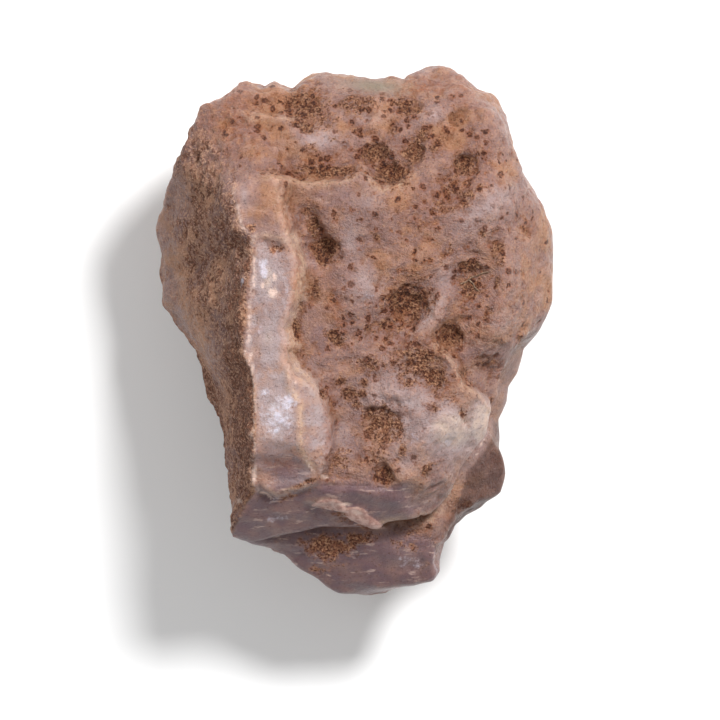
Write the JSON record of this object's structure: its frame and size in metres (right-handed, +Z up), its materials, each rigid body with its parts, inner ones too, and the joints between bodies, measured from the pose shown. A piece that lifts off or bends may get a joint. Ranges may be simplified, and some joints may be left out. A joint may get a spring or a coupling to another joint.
{
  "type": "chalcedony nodule",
  "caption": "Rough broken chalcedony nodule, milky and soil-stained, lying on a small flat spot with its broken face up.",
  "frame": {"origin": "middle of the stone's box at its base, on the small flat spot that it lies on", "axes": "+Z up, out of the broken face; +Y along the stone's length, towards its broad end; +X to the right seen from above"},
  "size_m": [0.0632, 0.0845, 0.0418],
  "materials": {
    "chalcedony": "satin"
  },
  "bodies": {
    "root": {"chalcedony": "chalcedony"}
  },
  "joints": []
}
